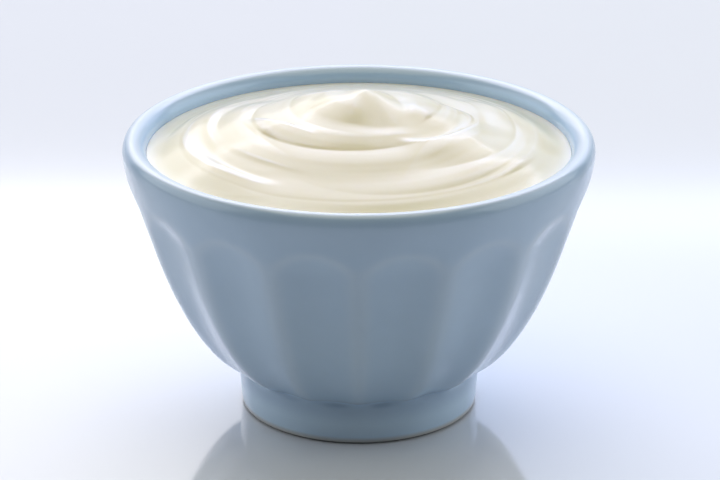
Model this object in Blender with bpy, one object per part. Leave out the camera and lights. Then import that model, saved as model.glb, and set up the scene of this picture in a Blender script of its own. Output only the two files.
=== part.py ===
"""A footed latte bowl with sixteen shallow flutes, filled with swirled yogurt.

Two solids: the bowl, turned as one thick wall with a foot ring, and the yogurt that fills it.
Units are metres, +Z is up, the front of the bowl is at -Y, and the origin is at the middle of
the face that it stands on. A turn is an angle about the upright axis, zero at the front and
growing towards the left side, as seen by someone who stands in front.
"""

import math

import bmesh
import bpy
import numpy as np
from mathutils import Vector
from mathutils.geometry import interpolate_bezier

MM = 0.001

# Bowl, outside
RIM_RADIUS = 57.5 * MM
HEIGHT = 69.4 * MM
WIDEST_HEIGHT = 66.3 * MM
FOOT_RADIUS = 29.1 * MM
FOOT_FLARE = 0.75 * MM
FOOT_HEIGHT = 9.6 * MM
FOOT_EDGE = 0.8 * MM
BODY_START = (28.9 * MM, 10.35 * MM)
BODY_START_HANDLE = (47.9 * MM, 17.0 * MM)
BODY_END_HANDLE = (58.0 * MM, 62.9 * MM)

# Rim: the lip is one soft round, a little longer on the inside
LIP_OUTER = 2.2 * MM
LIP_INNER = 3.5 * MM
LIP_INNER_DROP = 3.4 * MM

# Flutes
FLUTES = 16
FLUTE_FOOT = 11.5 * MM
ARCH_SPRING = 51.8 * MM
ARCH_RISE = 7.0 * MM
HOLLOW_AT_FOOT = 2.1
HOLLOW_AT_ARCH = 1.5

# Bowl, inside and underneath
INNER_BOTTOM = 9.5 * MM
INNER_FLOOR_RADIUS = 10.0 * MM
INNER_START_HANDLE = (46.8 * MM, 52.0 * MM)
INNER_END_HANDLE = (42.0 * MM, INNER_BOTTOM)
FOOT_RING_WIDTH = 4.5 * MM
RECESS_DEPTH = 2.4 * MM

# Yogurt
FILL_LEVEL = 65.7 * MM
MOUND_RISE = 11.1 * MM
MOUND_FALL = 1.62
GAP = 0.3 * MM
PEAK_TIP = (1.6 * MM, -3.8 * MM)
PEAK_FOOT = (1.0 * MM, -5.3 * MM)
PEAK_RADIUS = 14.4 * MM
PEAK_MOUND = 0.58 * MM
PEAK_POINT = 4.80 * MM
PEAK_POINT_WIDTH = 0.95
PEAK_SHARPNESS = 1.25

# The spoon left folds that run part of the way round. Each one has the turns at its two ends
# in degrees, then in millimetres the radius of its crest at four even steps between them, its
# rise at three, and at both ends the widths of the slope behind the crest and of its fall.
FOLDS = {
    "inner turn": ((149, -52), (9.0, 20.0, 21.0, 23.0), (0.7, 0.9, 0.1), (13.5, 2.0), (7.5, 3.5)),
    "right shoulder": ((-2, -117), (36.5, 16.0, 21.5, 15.5), (0.2, 1.1, 2.0), (9.0, 12.5), (14.0, 2.5)),
    "right turn": ((-20, -163), (23.0, 28.5, 29.0, 29.0), (1.3, 1.3, 0.0), (1.5, 9.0), (10.5, 7.5)),
    "middle turn": ((128, -88), (28.5, 30.5, 30.5, 32.0), (2.5, 1.0, 1.8), (12.0, 7.5), (13.5, 13.5)),
    "outer left turn": ((260, 25), (44.5, 47.0, 44.0, 41.0), (1.6, 0.6, 2.8), (14.0, 2.5), (14.0, 14.0)),
    "outer right turn": ((57, -129), (42.0, 45.5, 42.5, 34.0), (0.5, 1.4, 2.4), (10.0, 11.5), (14.0, 14.0)),
    "left wave": ((137, 16), (39.5, 40.5, 43.5, 33.5), (2.4, 0.0, 0.0), (8.0, 5.0), (7.0, 5.0)),
    "far turn": ((264, 104), (39.0, 37.0, 36.0, 33.0), (1.8, 0.4, 1.3), (7.0, 12.5), (4.0, 10.0)),
    "inner left crest": ((87, 23), (26.5, 22.5, 21.0, 22.0), (2.0, 0.7, 0.7), (1.5, 1.5), (2.5, 10.0)),
    "far right curl": ((-37, -149), (17.5, 14.5, 13.5, 14.5), (0.0, 1.1, 0.6), (1.5, 14.0), (2.5, 10.5)),
    "front ripple": ((29, -69), (33.0, 38.0, 38.0, 36.0), (0.2, 0.3, 1.5), (3.5, 9.0), (2.5, 5.5)),
    "left ripple": ((120, 14), (34.5, 36.5, 35.0, 37.0), (1.9, 0.0, 0.0), (3.0, 1.5), (4.5, 11.0)),
    "beside the peak": ((132, -21), (8.5, 8.5, 9.5, 12.5), (1.3, 0.8, 0.1), (7.5, 5.5), (8.0, 9.0)),
}

# Each fold fades in and out over this many degrees at its ends, and over this width at the wall
FOLD_TAPER = 30
CALM_AT_WALL = 9.0 * MM

# Facets
COLUMNS = FLUTES * 6
BODY_ROWS = 13
BAND_ROWS = 3
LIP_STEPS = 3
INNER_ROWS = 7
YOGURT_RINGS = 27
CURVE_POINTS = 300


def ease(value):
    """0 below 0, 1 above 1, with a smooth step between."""
    t = np.clip(value, 0.0, 1.0)
    return t * t * (3.0 - 2.0 * t)


def clear_scene():
    for item in list(bpy.data.objects):
        bpy.data.objects.remove(item, do_unlink=True)


def make_material(name, colour, roughness, coat):
    material = bpy.data.materials.new(name)
    material.use_nodes = True
    shader = material.node_tree.nodes["Principled BSDF"]
    shader.inputs["Base Color"].default_value = (*colour, 1.0)
    shader.inputs["Metallic"].default_value = 0.0
    shader.inputs["Roughness"].default_value = roughness
    shader.inputs["Coat Weight"].default_value = coat
    return material


def curve_points(start, start_handle, end_handle, end, count):
    """Points (radius, height) along one cubic curve."""
    corners = [Vector((p[0], p[1], 0.0)) for p in (start, start_handle, end_handle, end)]
    return [(p.x, p.y) for p in interpolate_bezier(*corners, count)]


def quarter(centre, across, up, first, last, steps):
    """Points (radius, height) along part of an ellipse, from one angle to another."""
    turns = np.linspace(math.radians(first), math.radians(last), steps + 1)
    return [(centre[0] + across * math.cos(t), centre[1] + up * math.sin(t)) for t in turns]


BODY_END = (RIM_RADIUS, WIDEST_HEIGHT)
BODY_CURVE = np.array(
    curve_points(BODY_START, BODY_START_HANDLE, BODY_END_HANDLE, BODY_END, CURVE_POINTS)
)


def ridge_radius(height):
    """Outer radius of the bowl at a ridge between two flutes."""
    return float(np.interp(height, BODY_CURVE[:, 1], BODY_CURVE[:, 0]))


def arch_height(across):
    """Height of a flute's upper edge, where across runs from -1 to 1 between its ridges."""
    return ARCH_SPRING + ARCH_RISE * math.sqrt(max(0.0, 1.0 - across * across))


def flute_depth(across, height):
    """How far a flute is pressed in from the ridge radius."""
    flat_depth = ridge_radius(height) * (1.0 - math.cos(math.pi / FLUTES))
    up_flute = min(1.0, (height - FLUTE_FOOT) / (ARCH_SPRING - FLUTE_FOOT))
    hollow = HOLLOW_AT_FOOT + (HOLLOW_AT_ARCH - HOLLOW_AT_FOOT) * up_flute
    into_arch = max(0.0, (height - ARCH_SPRING) / ARCH_RISE)
    return hollow * flat_depth * max(0.0, 1.0 - into_arch * into_arch - across * across)


def across_flute(x, y):
    """Place of a point between the two ridges beside it. A ridge runs down the front."""
    turn = math.atan2(-x, -y) / (2.0 * math.pi / FLUTES)
    return 2.0 * (turn - math.floor(turn)) - 1.0


def thin_out(points, count):
    """Keeps a few points of a fine curve, evenly spaced along it."""
    points = np.array(points)
    steps = np.hypot(*np.diff(points, axis=0).T)
    along = np.concatenate([[0.0], np.cumsum(steps)])
    wanted = np.linspace(0.0, along[-1], count)
    radii = np.interp(wanted, along, points[:, 0])
    heights = np.interp(wanted, along, points[:, 1])
    return list(zip(radii, heights))


def inner_rows():
    """The bowl's inner wall, from the level of the yogurt down to the middle of the floor."""
    top = (RIM_RADIUS - LIP_OUTER - LIP_INNER, HEIGHT - LIP_INNER_DROP)
    floor = (INNER_FLOOR_RADIUS, INNER_BOTTOM)
    fine = curve_points(top, INNER_START_HANDLE, INNER_END_HANDLE, floor, CURVE_POINTS)
    heights = [-height for radius, height in fine]
    radii = [radius for radius, height in fine]
    waterline = (float(np.interp(-FILL_LEVEL, heights, radii)), FILL_LEVEL)
    wetted = [waterline] + [point for point in fine if point[1] < FILL_LEVEL]
    return thin_out(wetted, INNER_ROWS) + [(0.0, INNER_BOTTOM)]


def spin_closed(mesh, outline):
    """Turns an outline that starts and ends on the axis into one closed body."""
    points = [mesh.verts.new((0.0, -radius, height)) for radius, height in outline]
    edges = [mesh.edges.new(pair) for pair in zip(points, points[1:])]
    bmesh.ops.spin(
        mesh,
        geom=points + edges,
        axis=(0.0, 0.0, 1.0),
        cent=(0.0, 0.0, 0.0),
        angle=2.0 * math.pi,
        steps=COLUMNS,
        use_duplicate=False,
    )
    bmesh.ops.remove_doubles(mesh, verts=mesh.verts, dist=0.01 * MM)
    bmesh.ops.recalc_face_normals(mesh, faces=mesh.faces)


def finish_object(name, mesh, material, smooth_angle):
    data = bpy.data.meshes.new(name)
    mesh.to_mesh(data)
    mesh.free()
    data.materials.append(material)
    data.shade_smooth()
    data.set_sharp_from_angle(angle=math.radians(smooth_angle))
    body = bpy.data.objects.new(name, data)
    bpy.context.scene.collection.objects.link(body)
    return body


def bowl_outline():
    """The bowl's section, from the middle underneath, up the outside and down the inside."""
    ring_inside = FOOT_RADIUS - FOOT_RING_WIDTH
    foot_top = FOOT_RADIUS + FOOT_FLARE
    underneath = [
        (0.0, RECESS_DEPTH),
        (ring_inside * 0.5, RECESS_DEPTH),
        (ring_inside - RECESS_DEPTH * 0.5, RECESS_DEPTH),
        (ring_inside, 0.0),
        (FOOT_RADIUS - FOOT_EDGE, 0.0),
    ]
    foot = [(FOOT_RADIUS, FOOT_EDGE), (foot_top, FOOT_HEIGHT)]
    rows = np.linspace(FLUTE_FOOT, ARCH_SPRING, BODY_ROWS)
    body = [(ridge_radius(height), height) for height in rows]
    band_rows = np.linspace(ARCH_SPRING, WIDEST_HEIGHT, BAND_ROWS + 1)[1:]
    band = [(ridge_radius(height), height) for height in band_rows]
    outer_centre = (RIM_RADIUS - LIP_OUTER, WIDEST_HEIGHT)
    outer_lip = quarter(outer_centre, LIP_OUTER, HEIGHT - WIDEST_HEIGHT, 0, 90, LIP_STEPS)
    inner_centre = (RIM_RADIUS - LIP_OUTER, HEIGHT - LIP_INNER_DROP)
    inner_lip = quarter(inner_centre, LIP_INNER, LIP_INNER_DROP, 90, 180, LIP_STEPS)
    return underneath + foot + body + band + outer_lip[1:] + inner_lip[1:] + inner_rows()


def press_flutes(mesh):
    """Bends the outer rows up under the arches and presses the sixteen flutes in."""
    for point in mesh.verts:
        x, y, height = point.co
        radius = math.hypot(x, y)
        outside = abs(radius - ridge_radius(height)) < 0.05 * MM
        if not outside or not FLUTE_FOOT - 0.1 * MM < height < WIDEST_HEIGHT - 0.1 * MM:
            continue
        across = across_flute(x, y)
        arch = arch_height(across)
        if height <= ARCH_SPRING + 0.01 * MM:
            part = (height - FLUTE_FOOT) / (ARCH_SPRING - FLUTE_FOOT)
            height = FLUTE_FOOT + part * (arch - FLUTE_FOOT)
        else:
            part = (height - ARCH_SPRING) / (WIDEST_HEIGHT - ARCH_SPRING)
            height = arch + part * (WIDEST_HEIGHT - arch)
        pressed = ridge_radius(height) - flute_depth(across, height)
        point.co = (x * pressed / radius, y * pressed / radius, height)


def make_bowl(material):
    mesh = bmesh.new()
    spin_closed(mesh, bowl_outline())
    press_flutes(mesh)
    return finish_object("bowl", mesh, material, 40)


FILL_RADIUS = inner_rows()[0][0] - GAP


def mound(radius):
    """Smooth heap of the yogurt over its level at the wall."""
    return MOUND_RISE * np.clip(1.0 - (radius / FILL_RADIUS) ** 2, 0.0, 1.0) ** MOUND_FALL


def along_fold(part, values):
    """A size that changes smoothly along a fold, given at even steps in millimetres."""
    steps = np.linspace(0.0, 1.0, len(values))
    return np.polynomial.Polynomial.fit(steps, values, len(values) - 1)(part) * MM


def fold(x, y, ends, crest_radii, rises, back_widths, fall_widths):
    """Height that one fold adds: a slope up to its crest, then a round fall outwards."""
    first, last = ends
    middle = 0.5 * (first + last)
    turn = np.degrees(np.arctan2(-x, -y))
    turn = middle + (turn - middle + 180.0) % 360.0 - 180.0
    part = (turn - first) / (last - first)
    span = abs(last - first)
    inside = np.clip(part, 0.0, 1.0)
    beyond = np.hypot(x, y) - along_fold(inside, crest_radii)
    slope_up = ease(1.0 + beyond / along_fold(inside, back_widths))
    round_fall = np.clip(1.0 - (beyond / along_fold(inside, fall_widths)) ** 2, 0.0, 1.0)
    shape = np.where(beyond < 0.0, slope_up, round_fall)
    fade = ease(part * span / FOLD_TAPER) * ease((1.0 - part) * span / FOLD_TAPER)
    return along_fold(inside, rises) * fade * shape


def peak(x, y):
    """Soft peak in the middle: an uneven cone that leans back from its foot."""
    lean = np.subtract(PEAK_TIP, PEAK_FOOT)
    from_tip_x = x - PEAK_TIP[0]
    from_tip_y = y - PEAK_TIP[1]
    a = PEAK_RADIUS**2 - lean @ lean
    b = from_tip_x * lean[0] + from_tip_y * lean[1]
    c = from_tip_x**2 + from_tip_y**2
    out = (b + np.sqrt(b * b + a * c)) / a
    point = PEAK_POINT * np.exp(-((out / PEAK_POINT_WIDTH) ** PEAK_SHARPNESS))
    return PEAK_MOUND * ease(1.0 - out) + point


def yogurt_top(x, y):
    """Height of the yogurt's upper face over its level at the wall."""
    radius = np.hypot(x, y)
    near_wall = ease((FILL_RADIUS - radius) / CALM_AT_WALL)
    height = mound(radius) + peak(x, y)
    for sizes in FOLDS.values():
        height = height + near_wall * fold(x, y, *sizes)
    return height


def yogurt_outline():
    """The yogurt's section: level rings out to the wall, then down the wall, clear of it."""
    rings = [(FILL_RADIUS * ring / YOGURT_RINGS, FILL_LEVEL) for ring in range(YOGURT_RINGS)]
    under = [(max(radius - GAP, 0.0), height + GAP) for radius, height in inner_rows()[1:]]
    return rings + [(FILL_RADIUS, FILL_LEVEL)] + under


def make_yogurt(material):
    mesh = bmesh.new()
    spin_closed(mesh, yogurt_outline())
    for point in mesh.verts:
        if point.co.z > FILL_LEVEL - 0.01 * MM:
            point.co.z += float(yogurt_top(point.co.x, point.co.y))
    return finish_object("yogurt", mesh, material, 60)


def main():
    clear_scene()
    glaze = make_material("powder_blue_glaze", (0.262, 0.392, 0.508), 0.18, 0.6)
    cream = make_material("white_yogurt", (0.86, 0.82, 0.70), 0.3, 0.3)
    make_bowl(glaze)
    make_yogurt(cream)


main()
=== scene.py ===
"""Powder-blue latte bowl of swirled yogurt, on a pale polished slab under soft studio light."""

import math

import bpy
import numpy as np
from mathutils import Euler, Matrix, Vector


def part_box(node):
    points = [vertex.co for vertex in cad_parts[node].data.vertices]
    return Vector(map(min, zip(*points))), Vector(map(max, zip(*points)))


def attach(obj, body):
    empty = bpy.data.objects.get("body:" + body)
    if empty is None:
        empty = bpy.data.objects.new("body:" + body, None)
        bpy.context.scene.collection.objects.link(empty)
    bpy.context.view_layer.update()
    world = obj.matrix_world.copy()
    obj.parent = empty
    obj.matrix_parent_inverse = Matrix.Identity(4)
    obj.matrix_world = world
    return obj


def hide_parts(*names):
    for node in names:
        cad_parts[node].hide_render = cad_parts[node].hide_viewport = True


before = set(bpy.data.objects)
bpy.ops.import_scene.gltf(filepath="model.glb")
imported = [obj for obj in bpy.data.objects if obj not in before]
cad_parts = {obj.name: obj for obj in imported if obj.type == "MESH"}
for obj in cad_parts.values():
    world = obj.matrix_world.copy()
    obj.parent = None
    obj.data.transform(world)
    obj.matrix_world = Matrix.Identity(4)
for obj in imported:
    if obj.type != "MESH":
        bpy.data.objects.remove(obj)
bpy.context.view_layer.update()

MM = 0.001

# Points nearer than this to a height or a radius count as on it
CLOSE = 0.01 * MM

# The bowl's sizes, with the rim read from its solid
RIM_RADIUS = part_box("bowl")[1][0]
HEIGHT = 69.4 * MM
WIDEST_HEIGHT = 66.3 * MM
FOOT_RADIUS = 29.1 * MM
FOOT_TOP_RADIUS = 29.85 * MM
FOOT_HEIGHT = 9.6 * MM
FOOT_EDGE = 0.8 * MM
FOOT_FILLET = 1.3 * MM
FILLET_HANDLES = (0.3 * MM, 1.2 * MM)
FOOT_RING_WIDTH = 4.5 * MM
RECESS_DEPTH = 2.4 * MM
RECESS_ROUNDING = 1.32 * MM
RECESS_SHOULDER = 2.16 * MM
BODY_START = (28.9 * MM, 10.35 * MM)
BODY_START_HANDLE = (47.9 * MM, 17.0 * MM)
BODY_END_HANDLE = (58.0 * MM, 62.9 * MM)
LIP_OUTER = 2.2 * MM
LIP_INNER = 3.5 * MM
LIP_INNER_DROP = 3.4 * MM
INNER_BOTTOM = 9.5 * MM
INNER_FLOOR_RADIUS = 10.0 * MM
INNER_START_HANDLE = (46.8 * MM, 52.0 * MM)
INNER_END_HANDLE = (42.0 * MM, INNER_BOTTOM)

# Flutes: their hollows are shares of a flat facet's depth, and the columns of faces gather
# towards the ridges
FLUTES = 16
FLUTE_FOOT = 11.5 * MM
ARCH_SPRING = 51.8 * MM
ARCH_RISE = 7.0 * MM
HOLLOW_AT_FOOT = 2.1
HOLLOW_AT_ARCH = 1.5
RIDGE_ROUNDING = 0.19
ARCH_SOFTNESS = 0.5
GATHERING = 0.55
OUTSIDE_MARGIN = 0.2 * MM

# Keeps a column that lies on a ridge with the flute after it
RIDGE_NUDGE = 1e-6

# Where the glaze is thin: on the ridges, and on the lip down to these depths
RIDGE_THINNING = 0.25
RIDGE_THIN_SPREAD = 0.3
LIP_BARE_OUTSIDE = 0.8 * MM
LIP_BARE_INSIDE = 0.9 * MM

# Painted light: the inner wall gets a bluer glaze colour that stands in for the cooler light there.
# It starts this far under the top and is full after this much more. What lies farther than the
# margin from the outer wall counts as inside
INNER_PAINTED_LIGHT_START = 0.5 * MM
INNER_PAINTED_LIGHT_FADE = 1.5 * MM
WALL_MARGIN = 2.0 * MM

# Marks low on the foot: painted light that brightens it downwards, the bare clay ring, and a painted
# shadow where the foot meets the floor. The height that they start under, and how far down they are full
LOW_CLAY_AND_PAINTED_LIGHT = {
    "foot_painted_light": (FOOT_HEIGHT, 5.0 * MM),
    "bare_clay": (1.7 * MM, 0.8 * MM),
    "painted_contact_shadow": (0.6 * MM, 0.25 * MM),
}

# Yogurt
FILL_LEVEL = 65.7 * MM
MOUND_RISE = 11.1 * MM
MOUND_FALL = 1.62
INTO_WALL = 0.12 * MM
EDGE_DROP = 0.3 * MM
PEAK_TIP = (1.6 * MM, -3.8 * MM)
PEAK_FOOT = (1.0 * MM, -5.3 * MM)
PEAK_RADIUS = 14.4 * MM
PEAK_MOUND = 0.58 * MM
PEAK_POINT = 4.80 * MM
PEAK_POINT_WIDTH = 0.95
PEAK_SHARPNESS = 1.25

# The slope that shows the full cream colour of the painted shade, and how far a crest falls away
# over a short span, which sets the painted highlight on the crests
STEEP = 0.52
SLOPE_STEP = 0.3 * MM
CREST_SPAN = 0.9 * MM
CREST_DROP = 0.22 * MM
CREST_START = 0.15

# The spoon's folds: turns of both ends in degrees, then in millimetres the radius of the crest at
# four even steps, its rise at three, and at both ends the widths of the slope behind and in front.
# A fitting program worked these numbers out from the photograph's light and shade, with those of
# the mound and the peak. They are not a design drawn by hand
FOLDS = {
    "inner turn": ((149, -52), (9.0, 20.0, 21.0, 23.0), (0.7, 0.9, 0.1), (13.5, 2.0), (7.5, 3.5)),
    "right shoulder": ((-2, -117), (36.5, 16.0, 21.5, 15.5), (0.2, 1.1, 2.0), (9.0, 12.5), (14.0, 2.5)),
    "right turn": ((-20, -163), (23.0, 28.5, 29.0, 29.0), (1.3, 1.3, 0.0), (1.5, 9.0), (10.5, 7.5)),
    "middle turn": ((128, -88), (28.5, 30.5, 30.5, 32.0), (2.5, 1.0, 1.8), (12.0, 7.5), (13.5, 13.5)),
    "outer left turn": ((260, 25), (44.5, 47.0, 44.0, 41.0), (1.6, 0.6, 2.8), (14.0, 2.5), (14.0, 14.0)),
    "outer right turn": ((57, -129), (42.0, 45.5, 42.5, 34.0), (0.5, 1.4, 2.4), (10.0, 11.5), (14.0, 14.0)),
    "left wave": ((137, 16), (39.5, 40.5, 43.5, 33.5), (2.4, 0.0, 0.0), (8.0, 5.0), (7.0, 5.0)),
    "far turn": ((264, 104), (39.0, 37.0, 36.0, 33.0), (1.8, 0.4, 1.3), (7.0, 12.5), (4.0, 10.0)),
    "inner left crest": ((87, 23), (26.5, 22.5, 21.0, 22.0), (2.0, 0.7, 0.7), (1.5, 1.5), (2.5, 10.0)),
    "far right curl": ((-37, -149), (17.5, 14.5, 13.5, 14.5), (0.0, 1.1, 0.6), (1.5, 14.0), (2.5, 10.5)),
    "front ripple": ((29, -69), (33.0, 38.0, 38.0, 36.0), (0.2, 0.3, 1.5), (3.5, 9.0), (2.5, 5.5)),
    "left ripple": ((120, 14), (34.5, 36.5, 35.0, 37.0), (1.9, 0.0, 0.0), (3.0, 1.5), (4.5, 11.0)),
    "beside the peak": ((132, -21), (8.5, 8.5, 9.5, 12.5), (1.3, 0.8, 0.1), (7.5, 5.5), (8.0, 9.0)),
}

# Each fold fades in and out over this many degrees at its ends, and over this width at the wall
FOLD_TAPER = 30
CALM_AT_WALL = 9.0 * MM

# Fine streaks that the spoon's edge drew along the folds: spacing in millimetres, how many
# spacings a streak drifts in one turn, and its depth in millimetres
STREAKS = ((1.9, 1, 0.008), (2.7, -1, 0.012), (4.3, 2, 0.018))
STREAKS_FROM = 16.0 * MM
STREAKS_FADE_IN = 8.0 * MM
STREAKS_AT_FRONT = 0.35

# Each streak is broken this many times a turn, at places that shift with its spacing and radius
STREAK_BREAKS = 3.0
BREAK_SHIFT = 7.0
BREAK_LENGTH = 4.0 * MM

# How finely the pieces are turned
BOWL_STEPS = FLUTES * 24
YOGURT_STEPS = 384
YOGURT_RINGS = 170
FOOT_ROWS = 8
RECESS_STEPS = 5
FOOT_EDGE_STEPS = 6
BODY_ROWS = 60
BAND_ROWS = 10
FILLET_STEPS = 8
LIP_STEPS = 14
INNER_ROWS = 14
CURVE_POINTS = 400

# Camera, as fitted to the photograph
PHOTO_WIDTH = 720
SENSOR = 36.0
FOCAL_PIXELS = 3171.3
AIM_HEIGHT = 33.56 * MM
AIM_DISTANCE = 784.0 * MM
ELEVATION = 21.59
AIM_LEFT_PIXELS = 1.2
AIM_LOW_PIXELS = 31.55


def ease(value):
    """0 below 0, 1 above 1, with a smooth step between."""
    t = np.clip(value, 0.0, 1.0)
    return t * t * (3.0 - 2.0 * t)


def bezier(start, start_handle, end_handle, end, count):
    """Points (radius, height) along one cubic curve."""
    t = np.linspace(0.0, 1.0, count)[:, None]
    corners = [np.array(p) for p in (start, start_handle, end_handle, end)]
    weights = ((1 - t) ** 3, 3 * (1 - t) ** 2 * t, 3 * (1 - t) * t**2, t**3)
    return sum(weight * corner for weight, corner in zip(weights, corners))


def arc(centre, across, up, first, last, steps):
    """Points (radius, height) along part of an ellipse, from one angle to another."""
    turns = np.radians(np.linspace(first, last, steps + 1))
    return [(centre[0] + across * math.cos(t), centre[1] + up * math.sin(t)) for t in turns]


def even_points(points, count):
    """A fine curve again, with its points evenly spaced along it."""
    points = np.array(points)
    along = np.concatenate([[0.0], np.cumsum(np.hypot(*np.diff(points, axis=0).T))])
    wanted = np.linspace(0.0, along[-1], count)
    columns = [np.interp(wanted, along, points[:, k]) for k in (0, 1)]
    return [tuple(point) for point in np.stack(columns, axis=1)]


BODY_CURVE = bezier(
    BODY_START, BODY_START_HANDLE, BODY_END_HANDLE, (RIM_RADIUS, WIDEST_HEIGHT), CURVE_POINTS
)


def ridge_radius(height):
    return np.interp(height, BODY_CURVE[:, 1], BODY_CURVE[:, 0])


def select_nothing():
    if bpy.context.object and bpy.context.object.mode != "OBJECT":
        bpy.ops.object.mode_set(mode="OBJECT")
    bpy.ops.object.select_all(action="DESELECT")


def turn_on_lathe(name, section, steps):
    """Draws a section from one point by extruding it, then spins it round the upright axis."""
    select_nothing()
    bpy.ops.mesh.primitive_plane_add(size=MM, location=(0.0, 0.0, 0.0))
    piece = bpy.context.object
    piece.name = name
    piece.data.name = name
    bpy.ops.object.mode_set(mode="EDIT")
    bpy.ops.mesh.select_all(action="SELECT")
    bpy.ops.mesh.merge(type="CENTER")
    bpy.ops.mesh.select_all(action="SELECT")
    drawn = [Vector((0.0, -radius, height)) for radius, height in section]
    bpy.ops.transform.translate(value=drawn[0])
    for last, new in zip(drawn, drawn[1:]):
        bpy.ops.mesh.extrude_vertices_move(TRANSFORM_OT_translate={"value": new - last})
    bpy.ops.mesh.select_all(action="SELECT")
    bpy.ops.mesh.spin(
        steps=steps, angle=2.0 * math.pi, center=(0.0, 0.0, 0.0), axis=(0.0, 0.0, 1.0)
    )
    bpy.ops.mesh.select_all(action="SELECT")
    bpy.ops.mesh.remove_doubles(threshold=0.002 * MM)
    bpy.ops.mesh.normals_make_consistent(inside=False)
    bpy.ops.object.mode_set(mode="OBJECT")
    bpy.ops.object.shade_smooth()
    return piece


def points_of(piece):
    points = np.empty(len(piece.data.vertices) * 3)
    piece.data.vertices.foreach_get("co", points)
    return points.reshape(-1, 3)


def set_points(piece, points):
    piece.data.vertices.foreach_set("co", points.reshape(-1))
    piece.data.update()


def paint(piece, name, values):
    """Keeps a value at every point of a piece, for its material to read."""
    layer = piece.data.attributes.new(name, "FLOAT", "POINT")
    layer.data.foreach_set("value", np.asarray(values, dtype=np.float32))


# The bowl


def inner_wall():
    top = (RIM_RADIUS - LIP_OUTER - LIP_INNER, HEIGHT - LIP_INNER_DROP)
    floor = (INNER_FLOOR_RADIUS, INNER_BOTTOM)
    return bezier(top, INNER_START_HANDLE, INNER_END_HANDLE, floor, CURVE_POINTS)


def bowl_section():
    """From the middle underneath, up the outside, over the lip and down to the inner floor."""
    ring_inside = FOOT_RADIUS - FOOT_RING_WIDTH
    soft = FOOT_EDGE
    underneath = [(0.0, RECESS_DEPTH), (ring_inside * 0.5, RECESS_DEPTH)]
    shoulder = (ring_inside - RECESS_SHOULDER, RECESS_DEPTH - RECESS_ROUNDING)
    underneath += arc(shoulder, RECESS_ROUNDING, RECESS_ROUNDING, 90, 0, RECESS_STEPS)
    underneath += arc((ring_inside + soft, soft), soft, soft, 180, 270, RECESS_STEPS)
    foot = arc((FOOT_RADIUS - soft, soft), soft, soft, 270, 360, FOOT_EDGE_STEPS)
    sides = np.linspace(soft, FOOT_HEIGHT - FOOT_FILLET, FOOT_ROWS)[1:]
    flare = (FOOT_TOP_RADIUS - FOOT_RADIUS) / FOOT_HEIGHT
    foot += [(FOOT_RADIUS + flare * height, height) for height in sides]
    fillet_end = (float(ridge_radius(FLUTE_FOOT)), FLUTE_FOOT)
    handles = [(FOOT_TOP_RADIUS, FOOT_HEIGHT + above) for above in FILLET_HANDLES]
    fillet = bezier(foot[-1], *handles, fillet_end, FILLET_STEPS)
    rows = FLUTE_FOOT + (ARCH_SPRING - FLUTE_FOOT) * np.linspace(0.0, 1.0, BODY_ROWS)
    body = [(float(ridge_radius(height)), height) for height in rows[1:]]
    band = np.linspace(ARCH_SPRING, WIDEST_HEIGHT, BAND_ROWS + 1)[1:]
    body += [(float(ridge_radius(height)), height) for height in band]
    crest = RIM_RADIUS - LIP_OUTER
    lip = arc((crest, WIDEST_HEIGHT), LIP_OUTER, HEIGHT - WIDEST_HEIGHT, 0, 90, LIP_STEPS)[1:]
    lip += arc((crest, HEIGHT - LIP_INNER_DROP), LIP_INNER, LIP_INNER_DROP, 90, 180, LIP_STEPS)[1:]
    inside = even_points(inner_wall(), INNER_ROWS)[1:] + [(0.0, INNER_BOTTOM)]
    return underneath + foot + list(map(tuple, fillet[1:])) + body + lip + inside


def paint_finishes_and_painted_light(piece, radius, height, lifted, thin_ridges):
    """Marks thin and wiped-off glaze, and painted light inside and low on the foot and a painted shadow at
    its base, for the material to read.
    """
    inward = radius < RIM_RADIUS - LIP_OUTER - CLOSE
    below_top = HEIGHT - lifted
    lip = ease(1.0 - below_top / np.where(inward, LIP_BARE_INSIDE, LIP_BARE_OUTSIDE))
    paint(piece, "thin_glaze", np.maximum(thin_ridges, lip))
    # Painted light: a bluer colour on the inner wall, standing in for its cooler light
    in_bowl = inward & (lifted > INNER_BOTTOM - CLOSE)
    in_bowl &= np.abs(radius - ridge_radius(height)) > WALL_MARGIN
    inner_light_share = ease((below_top - INNER_PAINTED_LIGHT_START) / INNER_PAINTED_LIGHT_FADE)
    paint(piece, "inner_wall_painted_light", in_bowl * inner_light_share)
    # Painted light lower on the foot, the bare clay ring, and a painted shadow at the foot's base
    for name, (start, fade_height) in LOW_CLAY_AND_PAINTED_LIGHT.items():
        paint(piece, name, ease((start - lifted) / fade_height))


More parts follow.
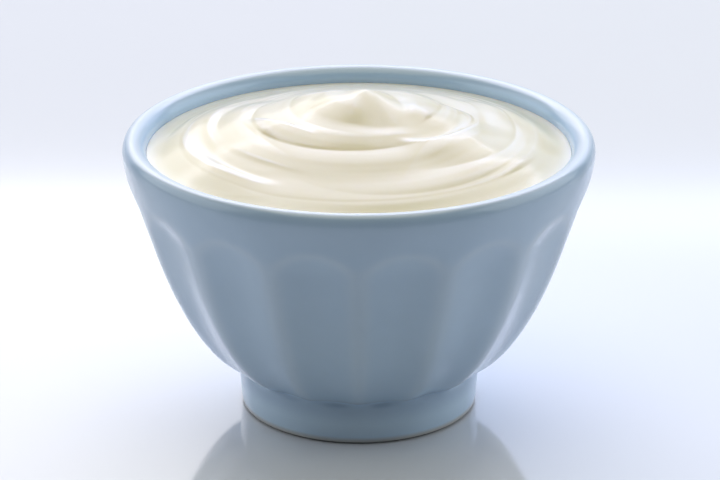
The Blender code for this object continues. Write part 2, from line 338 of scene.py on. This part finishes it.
def press_flutes(piece):
    """Gathers the columns towards the ridges, lifts the rows under the arches and presses in."""
    points = points_of(piece)
    x, y, height = points.T
    radius = np.hypot(x, y)
    pitch = 2.0 * math.pi / FLUTES
    turn = np.arctan2(-x, -y)
    flute = np.floor(turn / pitch + RIDGE_NUDGE)
    across = np.clip(2.0 * (turn / pitch - flute) - 1.0, -1.0, 1.0)
    across = (1.0 - GATHERING) * across + GATHERING * np.sin(0.5 * math.pi * across)
    turn = (flute + 0.5 * (across + 1.0)) * pitch
    outside = np.abs(radius - ridge_radius(height)) < 2.0 * CLOSE
    outside &= (height > FLUTE_FOOT - CLOSE) & (height < WIDEST_HEIGHT - CLOSE)
    arch = ARCH_SPRING + ARCH_RISE * np.sqrt(1.0 - across**2)
    low = FLUTE_FOOT + (height - FLUTE_FOOT) * (arch - FLUTE_FOOT) / (ARCH_SPRING - FLUTE_FOOT)
    above = (height - ARCH_SPRING) / (WIDEST_HEIGHT - ARCH_SPRING)
    high = arch + above * (WIDEST_HEIGHT - arch)
    lifted = np.where(outside, np.where(height <= ARCH_SPRING, low, high), height)
    into_arch = np.maximum(0.0, (lifted - ARCH_SPRING) / ARCH_RISE)
    from_ridge = np.hypot(1.0 - np.abs(across), RIDGE_ROUNDING) - RIDGE_ROUNDING
    from_ridge /= math.hypot(1.0, RIDGE_ROUNDING) - RIDGE_ROUNDING
    under = 1.0 - into_arch**2 - (1.0 - from_ridge) ** 2
    press = 0.5 * (under + np.sqrt(under**2 + ARCH_SOFTNESS**2))
    start = ease((lifted - FOOT_HEIGHT) / (FLUTE_FOOT - FOOT_HEIGHT))
    start *= (radius > FOOT_TOP_RADIUS - OUTSIDE_MARGIN) * (lifted < WIDEST_HEIGHT)
    flat_depth = ridge_radius(lifted) * (1.0 - math.cos(math.pi / FLUTES))
    on_wall = np.where(outside, ridge_radius(lifted), radius)
    fade = np.where(outside, 1.0, start * (lifted < FLUTE_FOOT + CLOSE))
    up_flute = np.clip((lifted - FLUTE_FOOT) / (ARCH_SPRING - FLUTE_FOOT), 0.0, 1.0)
    hollow = HOLLOW_AT_FOOT + (HOLLOW_AT_ARCH - HOLLOW_AT_FOOT) * up_flute
    pressed = on_wall - hollow * flat_depth * press * fade
    set_points(piece, np.stack([-pressed * np.sin(turn), -pressed * np.cos(turn), lifted], axis=1))
    thin = RIDGE_THINNING * np.exp(-((under / RIDGE_THIN_SPREAD) ** 2))
    paint_finishes_and_painted_light(piece, radius, height, lifted, thin * fade * (lifted > FLUTE_FOOT))


def make_bowl():
    piece = turn_on_lathe("glazed_bowl", bowl_section(), BOWL_STEPS)
    press_flutes(piece)
    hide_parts("bowl")
    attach(piece, "root")
    return piece


# The yogurt


def wall_radius(height):
    wall = inner_wall()[::-1]
    return float(np.interp(height, wall[:, 1], wall[:, 0]))


FILL_RADIUS = wall_radius(FILL_LEVEL) + INTO_WALL


def yogurt_section():
    """Level rings out to the wall, then down the wall to the bowl's floor."""
    rings = [(FILL_RADIUS * ring / YOGURT_RINGS, FILL_LEVEL) for ring in range(YOGURT_RINGS)]
    below = [point for point in inner_wall() if point[1] < FILL_LEVEL - EDGE_DROP]
    wall = [(radius + INTO_WALL, height - INTO_WALL) for radius, height in below]
    under = even_points(wall, INNER_ROWS)
    return rings + [(FILL_RADIUS, FILL_LEVEL)] + under + [(0.0, under[-1][1])]


def mound(radius):
    return MOUND_RISE * np.clip(1.0 - (radius / FILL_RADIUS) ** 2, 0.0, 1.0) ** MOUND_FALL


def along(part, values):
    """A value that changes smoothly along a fold, given at even steps."""
    steps = np.linspace(0.0, 1.0, len(values))
    return np.polynomial.Polynomial.fit(steps, values, len(values) - 1)(part) * MM


def fold(x, y, ends, crest_radii, rises, back_widths, fall_widths):
    """Height that one fold adds, a slope up to its crest, then a round fall outwards."""
    first, last = ends
    middle = 0.5 * (first + last)
    turn = np.degrees(np.arctan2(-x, -y))
    turn = middle + (turn - middle + 180.0) % 360.0 - 180.0
    part = (turn - first) / (last - first)
    span = abs(last - first)
    inside = np.clip(part, 0.0, 1.0)
    beyond = np.hypot(x, y) - along(inside, crest_radii)
    slope_up = ease(1.0 + beyond / along(inside, back_widths))
    round_fall = np.clip(1.0 - (beyond / along(inside, fall_widths)) ** 2, 0.0, 1.0)
    shape = np.where(beyond < 0.0, slope_up, round_fall)
    fade = ease(part * span / FOLD_TAPER) * ease((1.0 - part) * span / FOLD_TAPER)
    return along(inside, rises) * fade * shape


def peak(x, y):
    """Soft peak in the middle, an uneven cone that leans back from its foot."""
    lean = np.subtract(PEAK_TIP, PEAK_FOOT)
    from_tip_x = x - PEAK_TIP[0]
    from_tip_y = y - PEAK_TIP[1]
    a = PEAK_RADIUS**2 - lean @ lean
    b = from_tip_x * lean[0] + from_tip_y * lean[1]
    c = from_tip_x**2 + from_tip_y**2
    out = (b + np.sqrt(b * b + a * c)) / a
    point = PEAK_POINT * np.exp(-((out / PEAK_POINT_WIDTH) ** PEAK_SHARPNESS))
    return PEAK_MOUND * ease(1.0 - out) + point


def streaks(x, y):
    """Faint, broken grooves round the bowl, outside the inner turns and weaker at the front."""
    radius = np.hypot(x, y)
    turn = np.arctan2(-x, -y)
    height = 0.0
    for spacing, drift, depth in STREAKS:
        place = radius / (spacing * MM) + drift * turn / (2.0 * math.pi)
        breaks = spacing * BREAK_SHIFT + STREAK_BREAKS * turn + radius / BREAK_LENGTH
        broken = 0.5 + 0.5 * np.sin(breaks)
        height = height + depth * MM * broken * np.sin(2.0 * math.pi * place)
    behind = ease(0.5 - 0.5 * np.cos(turn))
    strength = STREAKS_AT_FRONT + (1.0 - STREAKS_AT_FRONT) * behind
    return height * strength * ease((radius - STREAKS_FROM) / STREAKS_FADE_IN)


def swirl(x, y):
    """Height of the yogurt's upper face over its level at the wall."""
    radius = np.hypot(x, y)
    near_wall = ease((FILL_RADIUS - radius) / CALM_AT_WALL)
    height = mound(radius) + peak(x, y)
    for sizes in FOLDS.values():
        height = height + near_wall * fold(x, y, *sizes)
    return height + near_wall * streaks(x, y)


def paint_swirl(piece, top, x, y):
    """Marks painted shade on the sloping faces and a painted highlight on the crests."""
    step = SLOPE_STEP
    slope_x = (swirl(x + step, y) - swirl(x - step, y)) / (2.0 * step)
    slope_y = (swirl(x, y + step) - swirl(x, y - step)) / (2.0 * step)
    # Painted shade: a creamier colour the more the surface slopes
    painted_slope_shade = np.ones(len(top))
    painted_slope_shade[top] = ease(np.hypot(slope_x, slope_y) / STEEP)
    paint(piece, "painted_slope_shade", painted_slope_shade)
    # Painted highlight: a whiter colour on the crests, away from the peak
    around = swirl(x + CREST_SPAN, y) + swirl(x - CREST_SPAN, y)
    around += swirl(x, y + CREST_SPAN) + swirl(x, y - CREST_SPAN)
    from_peak = np.hypot(x - PEAK_TIP[0], y - PEAK_TIP[1]) / PEAK_RADIUS
    crest = np.zeros(len(top))
    crest[top] = ease((4.0 * swirl(x, y) - around) / CREST_DROP - CREST_START) * ease(from_peak)
    paint(piece, "crest", crest)


def make_yogurt():
    piece = turn_on_lathe("swirled_yogurt", yogurt_section(), YOGURT_STEPS)
    points = points_of(piece)
    top = points[:, 2] > FILL_LEVEL - CLOSE
    x, y = points[top, 0], points[top, 1]
    points[top, 2] += swirl(x, y)
    set_points(piece, points)
    paint_swirl(piece, top, x, y)
    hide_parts("yogurt")
    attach(piece, "root")
    return piece


# Finishes and painted light


def new_material(name):
    material = bpy.data.materials.new(name)
    material.use_nodes = True
    tree = material.node_tree
    return material, tree, tree.nodes["Principled BSDF"]


def node(tree, kind, **settings):
    made = tree.nodes.new(kind)
    for key, value in settings.items():
        setattr(made, key, value)
    return made


def mix_colour(tree, factor, first, second):
    made = node(tree, "ShaderNodeMix", data_type="RGBA")
    sockets = (made.inputs[0], made.inputs[6], made.inputs[7])
    for socket, value in zip(sockets, (factor, first, second)):
        if isinstance(value, bpy.types.NodeSocket):
            tree.links.new(value, socket)
        else:
            socket.default_value = value
    return made.outputs[2]


def make_mottle_group():
    """A soft, cloudy mask between 0 and 1 that changes over the surface."""
    group = bpy.data.node_groups.new("soft mottle", "ShaderNodeTree")
    group.interface.new_socket("Vector", in_out="INPUT", socket_type="NodeSocketVector")
    group.interface.new_socket("Scale", in_out="INPUT", socket_type="NodeSocketFloat")
    group.interface.new_socket("Mask", in_out="OUTPUT", socket_type="NodeSocketFloat")
    inside = group.nodes.new("NodeGroupInput")
    outside = group.nodes.new("NodeGroupOutput")
    noise = node(group, "ShaderNodeTexNoise")
    noise.inputs["Detail"].default_value = 3.0
    noise.inputs["Roughness"].default_value = 0.55
    spread = node(group, "ShaderNodeMapRange", interpolation_type="SMOOTHSTEP")
    spread.inputs["From Min"].default_value = 0.15
    spread.inputs["From Max"].default_value = 0.85
    group.links.new(inside.outputs["Vector"], noise.inputs["Vector"])
    group.links.new(inside.outputs["Scale"], noise.inputs["Scale"])
    group.links.new(noise.outputs["Fac"], spread.inputs["Value"])
    group.links.new(spread.outputs["Result"], outside.inputs["Mask"])
    return group


def place_mottle(tree, group, coordinates, scale):
    placed = node(tree, "ShaderNodeGroup", node_tree=group)
    tree.links.new(coordinates, placed.inputs["Vector"])
    placed.inputs["Scale"].default_value = scale
    return placed.outputs["Mask"]


def spread_mask(tree, mask, low, high):
    made = node(tree, "ShaderNodeMapRange")
    made.inputs["To Min"].default_value = low
    made.inputs["To Max"].default_value = high
    tree.links.new(mask, made.inputs["Value"])
    return made.outputs["Result"]


def add_bump(tree, height, distance, strength, shader):
    made = node(tree, "ShaderNodeBump")
    made.inputs["Distance"].default_value = distance
    made.inputs["Strength"].default_value = strength
    tree.links.new(height, made.inputs["Height"])
    tree.links.new(made.outputs["Normal"], shader.inputs["Normal"])


def powder_blue_glaze(mottle):
    material, tree, shader = new_material("powder_blue_glaze")
    place = node(tree, "ShaderNodeTexCoord").outputs["Object"]
    cloud = place_mottle(tree, mottle, place, 55.0)
    colour = mix_colour(tree, cloud, (0.404, 0.560, 0.735, 1.0), (0.432, 0.593, 0.770, 1.0))
    # Painted light: bluer inner wall, lighter foot; painted shadow: black line at the base
    for name, amount, finish_or_painted_light in (
        ("thin_glaze", 0.6, (0.72, 0.78, 0.82, 1.0)),
        ("inner_wall_painted_light", 1.0, (0.47, 0.69, 1.0, 1.0)),
        ("foot_painted_light", 0.9, (0.62, 0.81, 0.97, 1.0)),
        ("bare_clay", 0.9, (0.52, 0.51, 0.47, 1.0)),
        ("painted_contact_shadow", 0.9, (0.05, 0.05, 0.045, 1.0)),
    ):
        marked = node(tree, "ShaderNodeAttribute", attribute_name=name).outputs["Fac"]
        colour = mix_colour(tree, spread_mask(tree, marked, 0.0, amount), colour, finish_or_painted_light)
    tree.links.new(colour, shader.inputs["Base Color"])
    tree.links.new(spread_mask(tree, cloud, 0.36, 0.42), shader.inputs["Roughness"])
    shader.inputs["Coat Weight"].default_value = 0.8
    shader.inputs["Coat Roughness"].default_value = 0.16
    ripple = place_mottle(tree, mottle, place, 160.0)
    add_bump(tree, ripple, 0.05 * MM, 0.25, shader)
    return material


def white_yogurt(mottle):
    material, tree, shader = new_material("white_yogurt")
    place = node(tree, "ShaderNodeTexCoord").outputs["Object"]
    cloud = place_mottle(tree, mottle, place, 40.0)
    pale = mix_colour(tree, cloud, (0.851, 0.810, 0.687, 1.0), (0.882, 0.841, 0.716, 1.0))
    # Painted shade: the sloping faces turn a deeper cream
    slope_shade = node(tree, "ShaderNodeAttribute", attribute_name="painted_slope_shade").outputs["Fac"]
    colour = mix_colour(tree, slope_shade, pale, (0.775, 0.700, 0.425, 1.0))
    # Painted highlight: the crests turn whiter
    crest = node(tree, "ShaderNodeAttribute", attribute_name="crest").outputs["Fac"]
    crest = spread_mask(tree, crest, 0.0, 0.8)
    colour = mix_colour(tree, crest, colour, (0.95, 0.92, 0.89, 1.0))
    tree.links.new(colour, shader.inputs["Base Color"])
    tree.links.new(spread_mask(tree, cloud, 0.28, 0.34), shader.inputs["Roughness"])
    shader.inputs["Subsurface Weight"].default_value = 0.4
    shader.inputs["Subsurface Radius"].default_value = (1.0, 0.8, 0.4)
    shader.inputs["Subsurface Scale"].default_value = 1.6 * MM
    shader.inputs["Coat Weight"].default_value = 0.7
    shader.inputs["Coat Roughness"].default_value = 0.14
    ripple = place_mottle(tree, mottle, place, 500.0)
    add_bump(tree, ripple, 0.03 * MM, 0.2, shader)
    return material


def pale_slab(mottle):
    material, tree, shader = new_material("pale_slab")
    place = node(tree, "ShaderNodeTexCoord").outputs["Object"]
    cloud = place_mottle(tree, mottle, place, 4.0)
    colour = mix_colour(tree, cloud, (0.775, 0.79, 0.815, 1.0), (0.795, 0.81, 0.835, 1.0))
    tree.links.new(colour, shader.inputs["Base Color"])
    shader.inputs["Roughness"].default_value = 0.08
    shader.inputs["IOR"].default_value = 1.7
    return material


# The stage


def make_floor(material):
    select_nothing()
    bpy.ops.mesh.primitive_plane_add(size=6.0, location=(0.0, 0.0, 0.0))
    floor = bpy.context.object
    floor.name = "floor"
    floor.data.materials.append(material)


# Every window aims at a point this far above the floor
WINDOW_AIM_HEIGHT = 0.05

# Each window: place, how far aside it aims, width and depth in metres, power in watts, colour.
# A fitting program worked out the powers and colours, except for the right window
WINDOWS = {
    "low back window on the left": ((-1.5, 3.2, 0.6), -1.5, 3.0, 1.1, 11.0, (0.782, 0.838, 1.0)),
    "low back window on the right": ((1.5, 3.2, 0.6), 1.5, 3.0, 1.1, 10.5, (0.793, 0.867, 1.0)),
    "back window on the left": ((-1.5, 3.2, 1.8), -1.5, 3.0, 1.3, 31.4, (0.905, 0.915, 1.0)),
    "back window on the right": ((1.5, 3.2, 1.8), 1.5, 3.0, 1.3, 26.7, (0.639, 0.733, 1.0)),
    "high back window": ((0.0, 4.4, 5.2), 0.0, 7.5, 3.8, 285.7, (0.824, 0.824, 1.0)),
    "left window": ((-3.2, 0.3, 1.5), 0.0, 4.0, 2.8, 46.4, (0.96, 0.979, 1.0)),
    "right window": ((3.2, 0.3, 1.5), 0.0, 4.0, 2.8, 51.0, (0.94, 0.975, 1.0)),
    "ceiling": ((0.0, -0.2, 3.4), 0.0, 3.0, 3.0, 38.3, (1.0, 0.953, 0.709)),
    "room in front": ((0.0, -3.2, 1.9), 0.0, 3.4, 2.2, 3.5, (0.78, 0.84, 1.0)),
}


def light_studio():
    for name, (place, aside, width, depth, power, colour) in WINDOWS.items():
        light = bpy.data.lights.new(name, "AREA")
        light.shape = "RECTANGLE"
        light.size = width
        light.size_y = depth
        light.energy = power
        light.color = colour
        lamp = bpy.data.objects.new(name, light)
        bpy.context.scene.collection.objects.link(lamp)
        lamp.location = place
        aim = Vector((aside, 0.0, WINDOW_AIM_HEIGHT)) - Vector(place)
        lamp.rotation_euler = aim.to_track_quat("-Z", "Y").to_euler()
    world = bpy.data.worlds.new("studio")
    world.use_nodes = True
    world.node_tree.nodes["Background"].inputs["Strength"].default_value = 0.0
    bpy.context.scene.world = world
    bpy.context.scene.view_settings.view_transform = "Standard"


def place_camera():
    camera = bpy.data.cameras.new("camera")
    camera.sensor_width = SENSOR
    camera.lens = FOCAL_PIXELS / PHOTO_WIDTH * SENSOR
    holder = bpy.data.objects.new("camera", camera)
    bpy.context.scene.collection.objects.link(holder)
    down = math.radians(ELEVATION)
    holder.location = (
        0.0, -AIM_DISTANCE * math.cos(down), AIM_HEIGHT + AIM_DISTANCE * math.sin(down)
    )
    raised = math.atan(AIM_LOW_PIXELS / FOCAL_PIXELS)
    aside = math.atan(AIM_LEFT_PIXELS / FOCAL_PIXELS)
    holder.rotation_euler = Euler((math.pi / 2 - down + raised, 0.0, -aside))
    bpy.context.scene.camera = holder


def dress_scene():
    mottle = make_mottle_group()
    bowl = make_bowl()
    bowl.data.materials.clear()
    bowl.data.materials.append(powder_blue_glaze(mottle))
    yogurt = make_yogurt()
    yogurt.data.materials.clear()
    yogurt.data.materials.append(white_yogurt(mottle))
    make_floor(pale_slab(mottle))
    light_studio()
    place_camera()


dress_scene()
